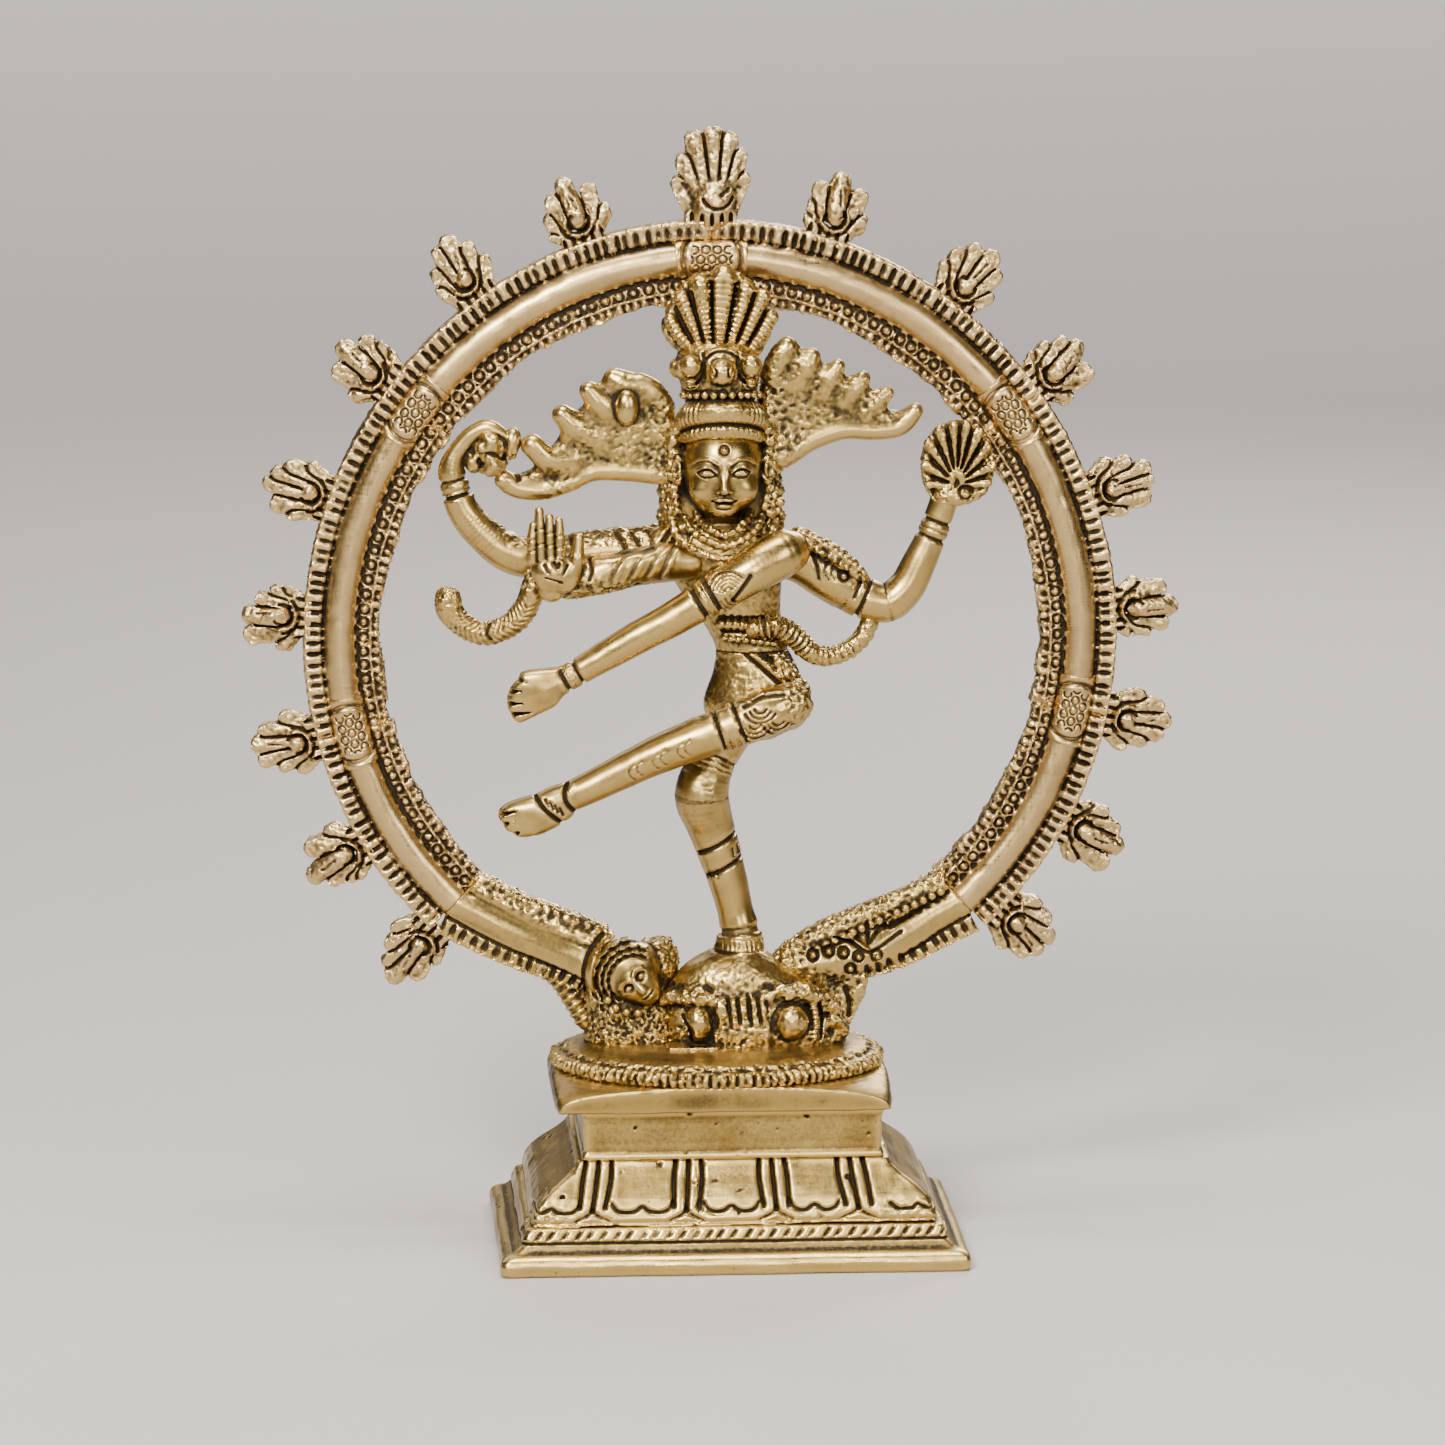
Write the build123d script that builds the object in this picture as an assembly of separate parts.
from build123d import *
import os
from math import cos, sin, radians

# Dancing figure in a hoop of flames on a moulded plinth, an antique brass shelf ornament.
#
# Frame: +X to the right seen from the front, +Y to the back, +Z up, millimetres.
# Origin: on the resting plane, under the centre of the whole object's box.
# Every piece is a casting or a turned fixing, brazed, spigoted or bolted to its neighbour.

# ------------------------------------------------------------------ driving dimensions
BASE_X = 2.8                 # the plinth's middle; the hoop leans this far off it
FOOT_HALF = (46.8, 32.5)     # half width and half depth of the plinth's foot
FOOT_BEAD_H = 4.2            # height of the rounded foot bead
CYMA_HALF = (43.0, 29.2)     # the foot narrows to this under the rope band
CYMA_TOP = 6.2
ROPE_TOP = 9.2               # top of the diagonal rope band
NECK_HALF = (30.4, 21.0)     # the plain neck block
LOTUS_TOP = 21.0             # the lotus moulding ends where the neck starts
NECK_TOP = 31.0
SLAB_X = 1.0                 # the oval pedestal's middle
SLAB_HALF = (34.0, 26.0)     # half axes of the oval slab
SLAB_TOP = 36.3
BEAD_TOP = 39.8              # top of the beaded rim on the slab
DOME_TOP = 41.6              # top of the low domed floor that the figures stand on
PLINTH_WALL = 5.0            # the plinth is cast hollow and open below
HOLLOW_TOP = 26.5            # underside of the neck's roof

STUD_R = 2.0                 # the stud that pulls the upper castings onto the plinth
STUD_X = 6.0
STUD_BOTTOM = 19.0
STUD_TOP = 48.0
NUT_ACROSS = 7.0
NUT_H = 3.2
WASHER_R = 5.5
WASHER_H = 1.0

HOOP_Z = 122.3               # height of the hoop's centre
HOOP_Y = 5.0                 # the hoop stands behind the figure
HOOP_OUT = 81.5              # outer radius of the notched rim
HOOP_IN = 66.0               # inner radius of the beaded bands
ROD_AT = 74.3                # radius of the half-round rod's centre line
ROD_R = 3.3
RIM_FROM = 77.95             # the notched rim's inner radius
BEADS_TO = 70.65             # the beaded bands' outer radius
BAND_HALF_Y = 2.4            # half depth of rim and bands
WEB_HALF_Y = 1.5             # half depth of the web that ties rod, rim and bands
FERRULE_R = 3.6
FERRULE_HALF = 5.2           # a ferrule covers this many degrees each side of its middle
SPIGOT_R = 1.9
FERRULES = (-12.0, 36.3, 90.0, 142.5, 194.3)
HOOP_START = -47.0           # degrees, where the right foot of the hoop begins
HOOP_END = 226.0

FLAMES = (-43.8, -28.3, -11.9, 3.3, 19.7, 37.1, 53.6, 73.5, 90.0,
          108.0, 124.7, 141.8, 159.9, 176.7, 194.0, 210.7, 226.5)
FLAME_W = 11.6
FLAME_TIP = 94.2             # radius of the flames' tips
TOP_FLAME_W = 15.2
TOP_FLAME_TIP = 102.6
FLAME_THICK = 5.0

HEAD = (1.7, -3.0, 157.0)    # centre of the head
HEAD_R = 8.0
HEAD_H = 9.6                 # half height of the head

os.makedirs("parts", exist_ok=True)


# ------------------------------------------------------------------ helpers
def write(name, shape):
    """Write one piece to its own file."""
    export_step(shape, f"parts/{name}.step")


def block(half, z_low, z_high, centre_x=BASE_X):
    """A box centred on the plinth, from its half sizes and two heights."""
    height = z_high - z_low
    return Pos(centre_x, 0, z_low + height / 2) * Box(2 * half[0], 2 * half[1], height)


def rounded_level(half, z, corner=1.2, centre_x=BASE_X):
    """A horizontal rounded rectangle, one level of a moulding."""
    return Pos(centre_x, 0, z) * RectangleRounded(2 * half[0], 2 * half[1], corner)


def oval_level(half, z, centre_x=SLAB_X):
    """A horizontal oval, one level of the pedestal."""
    return Pos(centre_x, 0, z) * Ellipse(half[0], half[1])


def sections(points, sizes):
    """Cross-sections square to a path. A size is a radius, or half depth and half height."""
    places = [Vector(*point) for point in points]
    faces = []
    for index, place in enumerate(places):
        before = places[max(index - 1, 0)]
        after = places[min(index + 1, len(places) - 1)]
        plane = Plane(origin=place, x_dir=across(after - before), z_dir=after - before)
        size = sizes[index]
        shape = Ellipse(*size) if isinstance(size, tuple) else Circle(size)
        faces.append(plane * shape)
    return faces


def across(direction):
    """A depth direction square to a path's direction."""
    depth = Vector(0, 1, 0)
    along = direction.normalized()
    return depth - along * depth.dot(along)


def limb(faces, first=0, last=None):
    """A smooth solid through the cross-sections first to last."""
    end = len(faces) if last is None else last + 1
    return loft(faces[first:end])


def ball(centre, radius):
    """A sphere at a place."""
    return Pos(*centre) * Sphere(radius)


def plate(outline, y_front, y_back):
    """A flat casting from a smooth closed outline of (x, z) points."""
    line = Spline([(x, z) for x, z in outline], periodic=True)
    face = make_face(Plane(origin=(0, y_back, 0), x_dir=(1, 0, 0), z_dir=(0, -1, 0)) * line)
    return extrude(face, amount=y_back - y_front, dir=(0, -1, 0))


def hoop_face(shape, radius, angle):
    """A profile on the hoop's radial plane at an angle, at a radius from its centre."""
    turn = radians(angle)
    out = Vector(cos(turn), 0, sin(turn))
    origin = Vector(0, HOOP_Y, HOOP_Z) + out * radius
    return Plane(origin=origin, x_dir=out, z_dir=Vector(-sin(turn), 0, cos(turn))) * shape


def hoop_sweep(shape, radius, start, stop):
    """A profile turned about the hoop's axis between two angles."""
    axis = Axis((0, HOOP_Y, HOOP_Z), (0, -1, 0))
    return revolve(hoop_face(shape, radius, start), axis=axis, revolution_arc=stop - start)


def hoop_band(inner, outer, half_y, start, stop):
    """A flat band of the hoop between two radii."""
    middle = (inner + outer) / 2
    return hoop_sweep(Rectangle(outer - inner, 2 * half_y), middle, start, stop)


def one(shape):
    """The largest solid of a shape, without the crumbs that a cut can leave."""
    return max(shape.solids(), key=lambda solid: solid.volume)


# ------------------------------------------------------------------ plinth
inner_half = (NECK_HALF[0] - PLINTH_WALL, NECK_HALF[1] - PLINTH_WALL)
hollow = block(inner_half, -1, HOLLOW_TOP)

foot_bead = block(FOOT_HALF, 0, FOOT_BEAD_H)
foot_bead = fillet(foot_bead.edges().group_by(Axis.Z)[-1], 1.5)
foot_bead = chamfer(foot_bead.edges().group_by(Axis.Z)[0], 0.5)
cyma = loft([rounded_level((CYMA_HALF[0] + 1.2, CYMA_HALF[1] + 1.2), FOOT_BEAD_H),
             rounded_level(CYMA_HALF, CYMA_TOP)])
rope_band = loft([rounded_level((CYMA_HALF[0] - 0.6, CYMA_HALF[1] - 0.6), CYMA_TOP),
                  rounded_level((CYMA_HALF[0] - 1.8, CYMA_HALF[1] - 1.6), ROPE_TOP)])
foot_hollow = block((FOOT_HALF[0] - 8, FOOT_HALF[1] - 8), -1, CYMA_TOP - 0.7)
plinth_foot = foot_bead + cyma + rope_band - foot_hollow - hollow

lotus = loft([rounded_level((40.4, 27.0), ROPE_TOP),
              rounded_level((39.6, 26.4), ROPE_TOP + 3.0),
              rounded_level((36.2, 24.4), ROPE_TOP + 6.8),
              rounded_level((31.6, 21.9), ROPE_TOP + 10.6),
              rounded_level((31.0, 21.5), LOTUS_TOP)])
plinth_lotus = lotus - hollow

stud_hole = Pos(STUD_X, 0, STUD_TOP / 2) * Cylinder(STUD_R, STUD_TOP)
plinth_neck = block(NECK_HALF, LOTUS_TOP, NECK_TOP) - hollow - stud_hole

# ------------------------------------------------------------------ oval pedestal
slab = loft([oval_level((31.5, 24.0), NECK_TOP), oval_level(SLAB_HALF, NECK_TOP + 2.2),
             oval_level((33.8, 25.8), SLAB_TOP)])
pedestal_slab = slab - stud_hole

bead_rim = loft([oval_level((33.0, 25.0), SLAB_TOP), oval_level((33.4, 25.4), SLAB_TOP + 2),
                 oval_level((32.2, 24.4), BEAD_TOP)], ruled=True)
low_dome = loft([oval_level((31.0, 23.2), BEAD_TOP), oval_level((27.0, 19.6), BEAD_TOP + 1.2),
                 oval_level((20.0, 13.4), DOME_TOP)], ruled=True)
pedestal_floor = bead_rim + low_dome - stud_hole

# ------------------------------------------------------------------ stud and nut
stud = Pos(STUD_X, 0, (STUD_BOTTOM + STUD_TOP) / 2) * Cylinder(STUD_R, STUD_TOP - STUD_BOTTOM)
fixing_stud = chamfer(stud.edges(), 0.4)
washer_low = HOLLOW_TOP - WASHER_H
washer = Pos(STUD_X, 0, washer_low + WASHER_H / 2) * Cylinder(WASHER_R, WASHER_H) - stud_hole
nut_prism = extrude(RegularPolygon(NUT_ACROSS / 2, 6, major_radius=False), amount=NUT_H)
nut = Pos(STUD_X, 0, washer_low - NUT_H) * nut_prism - stud_hole
nut_and_washer = Compound([one(nut), one(washer)])

# ------------------------------------------------------------------ hoop
hoop_sectors = []
bounds = (HOOP_START,) + FERRULES + (HOOP_END,)
for index in range(len(bounds) - 1):
    start, stop = bounds[index], bounds[index + 1]
    rod_start = start + (FERRULE_HALF if index > 0 else 0)
    rod_stop = stop - (FERRULE_HALF if index < len(FERRULES) else 0)
    sector = hoop_band(RIM_FROM, HOOP_OUT, BAND_HALF_Y, start, stop)
    sector += hoop_band(HOOP_IN, BEADS_TO, BAND_HALF_Y, start, stop)
    sector += hoop_band(BEADS_TO - 1, RIM_FROM + 1, WEB_HALF_Y, rod_start, rod_stop)
    sector += hoop_sweep(Circle(ROD_R), ROD_AT, rod_start, rod_stop)
    sector += hoop_sweep(Circle(SPIGOT_R), ROD_AT, start, stop)
    hoop_sectors.append(sector)

ferrules = []
for angle in FERRULES:
    sleeve = Circle(FERRULE_R) - Circle(SPIGOT_R)
    ferrules.append(hoop_sweep(sleeve, ROD_AT, angle - FERRULE_HALF, angle + FERRULE_HALF))

# ------------------------------------------------------------------ flames
hoop_disc = Plane(origin=(0, HOOP_Y + 8, HOOP_Z), x_dir=(1, 0, 0), z_dir=(0, -1, 0)) * (
    Cylinder(HOOP_OUT, 40))


def flame(angle, width, tip):
    """A flame leaf standing out from the hoop, cupped at its foot, with a parted tip."""
    low = HOOP_OUT - 1.0
    high = tip - low
    half = width / 2
    outline = [(low, -half * 0.72), (low + high * 0.26, -half), (low + high * 0.56, -half * 0.86),
               (low + high * 0.86, -half * 0.52), (tip, 0.0), (low + high * 0.86, half * 0.52),
               (low + high * 0.56, half * 0.86), (low + high * 0.26, half), (low, half * 0.72)]
    turn = radians(angle)
    out = Vector(cos(turn), 0, sin(turn))
    plane = Plane(origin=(0, HOOP_Y + FLAME_THICK / 2, HOOP_Z), x_dir=out, z_dir=(0, -1, 0))
    edge = Spline(outline) + Line(outline[-1], outline[0])
    leaf = extrude(plane * make_face(edge), amount=FLAME_THICK, dir=(0, -1, 0))
    return one(leaf - hoop_disc)


flames = []
for angle in FLAMES:
    is_top = angle == 90.0
    flames.append(flame(angle, TOP_FLAME_W if is_top else FLAME_W,
                        TOP_FLAME_TIP if is_top else FLAME_TIP))

# ------------------------------------------------------------------ torso, hips, head
trunk_levels = [((1.9, 0.6, 147.0), (4.2, 4.0)), ((2.3, 0.4, 142.2), (9.2, 5.0)),
                ((3.6, 0.0, 136.0), (10.0, 6.4)), ((5.6, 0.0, 128.0), (7.8, 5.6)),
                ((7.2, 0.0, 120.5), (6.3, 5.0)), ((8.2, 0.0, 115.0), (8.8, 6.3)),
                ((8.6, 0.0, 109.0), (9.4, 6.6)), ((7.6, 0.0, 103.8), (6.4, 5.0))]
trunk_faces = [Pos(*place) * Ellipse(*half) for place, half in trunk_levels]
WAIST = 4                    # the trunk level where torso and hips part
torso = loft(trunk_faces[:WAIST + 1])
hips = loft(trunk_faces[WAIST:])

skull = Pos(*HEAD) * scale(Sphere(1), by=(HEAD_R, HEAD_R, HEAD_H))
neck_faces = sections([(1.9, 0.6, 147.0), (1.8, -0.6, 149.0), (1.7, -1.8, 152.0)], [4.0, 3.8, 4.0])
head = limb(neck_faces) + skull - torso

crown_levels = [(8.2, 7.9), (9.4, 8.7), (13.2, 8.8), (14.4, 8.1), (15.6, 9.0), (20.6, 9.4),
                (23.2, 8.4), (24.6, 5.4)]
crown = loft([Pos(HEAD[0], HEAD[1] + 1, HEAD[2] + height) * Circle(radius)
              for height, radius in crown_levels], ruled=True) - skull

plume_outline = [(-5.6, 179.5), (-9.2, 186.5), (-7.6, 192.5), (-2.6, 195.4), (3.6, 195.9),
                 (8.6, 193.0), (10.8, 187.0), (8.4, 179.5), (1.6, 176.5)]
crown_plume = one(plate(plume_outline, -4.4, HOOP_Y - FERRULE_R) - crown - ferrules[2])

necklace_ring = Pos(2.0, -0.6, 144.6) * Rot(14, 0, 0) * Torus(6.6, 1.5)
necklace = one(necklace_ring - torso - head)

# ------------------------------------------------------------------ hair wings
left_wing_outline = [(-6.0, 158.0), (-11.5, 154.6), (-20.0, 155.3), (-31.3, 151.8), (-39.4, 151.6),
                     (-43.4, 154.0), (-40.6, 158.6), (-36.0, 162.6), (-30.1, 167.6),
                     (-24.1, 172.2), (-17.8, 175.2), (-11.6, 172.4), (-6.8, 166.0)]
right_wing_outline = [(9.4, 158.0), (14.6, 156.2), (22.4, 160.2), (31.6, 161.4), (38.2, 162.8),
                      (41.6, 167.0), (39.6, 170.2), (36.2, 168.6), (33.2, 173.2), (26.5, 177.3),
                      (20.1, 180.0), (14.8, 181.6), (10.0, 176.0), (8.4, 167.0)]
WING_FRONT, WING_BACK = 0.4, 4.6
head_and_crown = head + crown
hair_wing_left = one(plate(left_wing_outline, WING_FRONT, WING_BACK) - head_and_crown)
hair_wing_right = one(plate(right_wing_outline, WING_FRONT, WING_BACK) - head_and_crown)

# ------------------------------------------------------------------ raised arm with the drum
drum_arm = sections(
    [(-1.0, 1.5, 140.6), (-8.0, 1.5, 141.2), (-16.0, 1.5, 140.9), (-24.0, 1.5, 140.1),
     (-33.0, 1.5, 138.4), (-40.2, 1.6, 140.2), (-45.6, 1.8, 143.9), (-49.6, 2.0, 149.0),
     (-51.0, 2.0, 154.8), (-49.6, 2.0, 160.6), (-47.0, 1.6, 165.0)],
    [4.4, 4.3, 4.2, 4.0, 3.7, 3.6, 3.4, 3.1, 2.8, 2.8, 2.9])
DRUM_ELBOW = 4
drum_upper_arm = one(limb(drum_arm, 0, DRUM_ELBOW) - torso - necklace)
drum_forearm = limb(drum_arm, DRUM_ELBOW)
drum_barrel = loft(sections([(-44.2, -1.6, 166.4), (-43.6, -1.0, 162.6), (-43.0, -0.4, 158.8)],
                            [3.0, 2.0, 3.0]))
drum_strap = loft(sections([(-47.0, 1.6, 165.0), (-44.0, 0.8, 165.6), (-41.2, 0.2, 163.8)],
                           [2.9, 2.6, 1.8]))
drum_hand = drum_strap - drum_barrel
drum_forearm = one(drum_forearm + drum_hand)
drum = one(drum_barrel - drum_forearm)
hair_wing_left = one(hair_wing_left - drum_forearm - drum)

# ------------------------------------------------------------------ blessing arm and snake
blessing_path = sections(
    [(-6.0, -3.6, 137.2), (-14.0, -4.6, 136.6), (-22.0, -5.4, 135.4), (-29.0, -6.0, 134.0)],
    [3.4, 3.3, 3.1, 2.6])
palm = loft(sections([(-31.6, -6.4, 130.6), (-32.0, -6.6, 135.0), (-32.2, -6.6, 142.0),
                      (-33.4, -6.6, 147.0), (-34.2, -6.4, 151.0)],
                     [(2.2, 2.6), (2.6, 4.6), (2.2, 5.6), (1.6, 4.2), (1.0, 1.6)]))
blessing_arm = one(limb(blessing_path) + palm - torso - drum_upper_arm - drum_forearm)
snake_path = sections(
    [(-34.6, -1.4, 135.0), (-37.4, -1.4, 130.8), (-41.6, -1.4, 127.2), (-46.4, -1.4, 126.2),
     (-50.8, -1.4, 128.4), (-53.4, -1.4, 132.2)],
    [2.4, 2.6, 2.6, 2.4, 2.1, 2.3])
snake = limb(snake_path) + ball((-53.6, -1.4, 132.8), 2.6)
snake = one(snake - blessing_arm - drum_forearm - drum_upper_arm)

# ------------------------------------------------------------------ arm with the flame
flame_arm = sections(
    [(11.0, 1.0, 139.6), (17.4, 1.0, 138.2), (24.0, 1.0, 134.6), (30.0, 0.6, 130.4),
     (34.0, 0.4, 129.4), (37.2, 0.4, 131.6), (40.4, 0.4, 136.6), (43.6, 0.4, 142.0),
     (45.8, 0.4, 148.4)],
    [4.6, 4.7, 4.5, 4.1, 3.9, 3.9, 3.6, 3.1, 2.7])
FLAME_ELBOW = 4
flame_upper_arm = one(limb(flame_arm, 0, FLAME_ELBOW) - torso - hair_wing_right)
flame_forearm = limb(flame_arm, FLAME_ELBOW)
shell_outline = [(44.0, 148.4), (41.6, 153.0), (40.8, 159.0), (43.6, 164.2), (49.6, 166.0),
                 (55.2, 163.4), (57.4, 157.6), (55.6, 152.4), (50.0, 148.6)]
flame_shell = one(plate(shell_outline, -3.0, HOOP_Y - BAND_HALF_Y) - flame_forearm)

# ------------------------------------------------------------------ arm across the body
crossing_arm = sections(
    [(17.0, -7.4, 140.8), (13.0, -8.6, 140.0), (6.5, -10.2, 137.2), (-2.8, -10.8, 132.4),
     (-10.4, -10.6, 127.2), (-17.8, -10.2, 122.2), (-27.3, -9.8, 116.8), (-33.6, -9.6, 114.2),
     (-38.8, -9.6, 112.0), (-42.6, -9.4, 108.8)],
    [4.0, 4.9, 4.9, 4.4, 3.8, 3.5, 2.9, (2.6, 3.6), (2.4, 3.9), (1.6, 2.6)])
CROSSING_ELBOW = 3
crossing_upper_arm = one(limb(crossing_arm, 0, CROSSING_ELBOW) + ball((15.0, -8.0, 140.4), 4.9)
                         - torso - flame_upper_arm - necklace)
crossing_forearm = one(limb(crossing_arm, CROSSING_ELBOW) - torso)

# ------------------------------------------------------------------ standing leg
standing_leg = sections(
    [(6.8, 0.0, 105.6), (2.6, -0.8, 101.6), (-0.8, -2.0, 96.8), (-2.2, -1.8, 91.4),
     (-0.8, -0.4, 85.7), (1.2, 0.4, 79.7), (3.4, 0.4, 72.6), (4.9, 0.2, 67.0), (5.6, 0.0, 62.6)],
    [5.4, 5.2, 5.0, 4.9, 4.6, 4.1, 3.4, 2.9, 3.1])
KNEE = 3
standing_thigh = one(limb(standing_leg, 0, KNEE) - hips)
standing_foot = loft([Pos(5.6, 0.0, 62.6) * Circle(3.1), Pos(5.2, -1.0, 60.0) * Ellipse(4.6, 4.2),
                      Pos(3.6, -2.2, 57.6) * Ellipse(8.2, 5.6)])
standing_shin = one(limb(standing_leg, KNEE) - standing_foot)

# ------------------------------------------------------------------ raised leg
raised_leg = sections(
    [(18.4, -9.4, 109.4), (12.0, -9.8, 108.6), (5.2, -10.2, 106.4), (-3.0, -10.2, 103.8),
     (-12.8, -9.8, 99.8), (-22.6, -9.4, 95.0), (-30.4, -9.2, 92.4), (-36.6, -9.2, 90.0),
     (-43.4, -9.2, 88.6)],
    [4.4, 5.0, 4.5, 4.1, 3.9, 3.4, 3.0, (3.0, 4.0), (1.8, 3.2)])
RAISED_KNEE, RAISED_ANKLE = 2, 6
raised_thigh = one(limb(raised_leg, 0, RAISED_KNEE) + ball((16.4, -8.8, 109.2), 5.2)
                   - hips - standing_thigh)
raised_shin = one(limb(raised_leg, RAISED_KNEE, RAISED_ANKLE) - hips - standing_thigh)
raised_foot = limb(raised_leg, RAISED_ANKLE)

# ------------------------------------------------------------------ sash
sash_path = sections(
    [(0.6, -5.0, 124.0), (6.6, -6.2, 125.4), (12.2, -5.6, 125.0), (16.4, -3.6, 121.6),
     (20.4, -2.2, 118.8), (25.6, -1.4, 119.4), (30.0, -0.8, 122.8), (31.6, -0.4, 126.6)],
    [1.6, 1.7, 1.7, 1.7, 1.7, 1.7, 1.6, 1.5])
sash = one(limb(sash_path) - torso - flame_upper_arm - flame_forearm - hips)

# ------------------------------------------------------------------ lying dwarf and hoop ends
dwarf_levels = [((9.6, -1.0, DOME_TOP - 1.4), (18.2, 10.4)), ((9.4, -1.6, 48.0), (17.2, 9.8)),
                ((7.6, -1.4, 54.0), (11.6, 7.6)), ((4.6, -1.8, 57.6), (8.0, 5.4))]
dwarf_mound = loft([Pos(*place) * Ellipse(*half) for place, half in dwarf_levels])
dwarf_body = one(dwarf_mound + ball((15.4, -8.4, 47.6), 4.0) - pedestal_floor - stud_hole
                 - standing_foot)

left_tail = sections(
    [(ROD_AT * cos(radians(HOOP_END)), HOOP_Y, HOOP_Z + ROD_AT * sin(radians(HOOP_END))),
     (-43.0, HOOP_Y - 0.4, 63.8), (-34.0, HOOP_Y - 1.2, 60.6), (-25.0, 2.0, 57.6),
     (-18.0, -0.6, 53.6)],
    [(2.6, 6.4), (2.8, 6.6), (3.2, 6.6), (5.0, 6.8), (5.6, 5.6)])
face_ball = ball((-16.6, -2.6, 53.6), 6.2)
head_mound = loft([Pos(-14.6, 1.0, 38.4) * Ellipse(9.6, 6.8), Pos(-16.0, 1.0, 46.0) * Ellipse(8.4, 6.2),
                   Pos(-17.0, 1.0, 54.0) * Ellipse(6.0, 5.0)])
dwarf_head = one(face_ball + head_mound - pedestal_floor - dwarf_body)
hoop_tail_left = one(limb(left_tail) - dwarf_head - hoop_sectors[-1] - dwarf_body)

right_tail = sections(
    [(ROD_AT * cos(radians(HOOP_START)), HOOP_Y, HOOP_Z + ROD_AT * sin(radians(HOOP_START))),
     (43.8, HOOP_Y - 0.4, 63.6), (36.0, HOOP_Y - 1.2, 61.6), (27.0, 2.6, 58.4),
     (20.0, 1.0, 56.4)],
    [(2.6, 6.4), (2.8, 6.4), (3.4, 6.6), (4.6, 7.0), (3.6, 4.6)])
scroll_foot = loft([Pos(25.0, 1.0, 38.4) * Ellipse(5.0, 5.4), Pos(26.0, 1.4, 46.0) * Ellipse(5.6, 5.0),
                    Pos(27.0, 2.0, 56.0) * Ellipse(6.0, 4.6)])
hoop_scroll_right = one(limb(right_tail) + scroll_foot - hoop_sectors[0] - dwarf_body
                        - pedestal_floor)

# ------------------------------------------------------------------ write every piece
pieces = {
    "plinth_foot": plinth_foot, "plinth_lotus_moulding": plinth_lotus, "plinth_neck": plinth_neck,
    "pedestal_slab": pedestal_slab, "pedestal_floor": pedestal_floor,
    "fixing_stud": fixing_stud, "nut_and_washer": nut_and_washer,
    "hoop_ferrules": Compound(ferrules),
    "torso": torso, "hips": hips, "head": head, "crown": crown, "crown_plume": crown_plume,
    "necklace": necklace, "hair_wing_left": hair_wing_left, "hair_wing_right": hair_wing_right,
    "drum_upper_arm": drum_upper_arm, "drum_forearm": drum_forearm, "hand_drum": drum,
    "blessing_arm": blessing_arm, "snake": snake, "flame_upper_arm": flame_upper_arm,
    "flame_forearm": flame_forearm, "flame_shell": flame_shell,
    "crossing_upper_arm": crossing_upper_arm, "crossing_forearm": crossing_forearm,
    "standing_thigh": standing_thigh, "standing_shin": standing_shin,
    "standing_foot": standing_foot, "raised_thigh": raised_thigh, "raised_shin": raised_shin,
    "raised_foot": raised_foot, "sash": sash, "dwarf_body": dwarf_body,
    "dwarf_head": dwarf_head, "hoop_tail_left": hoop_tail_left,
    "hoop_scroll_right": hoop_scroll_right,
}
for number, sector in enumerate(hoop_sectors, start=1):
    pieces[f"hoop_sector_{number}"] = sector
for number, leaf in enumerate(flames, start=1):
    pieces[f"flame_{number:02d}"] = leaf
for name, shape in pieces.items():
    write(name, shape)
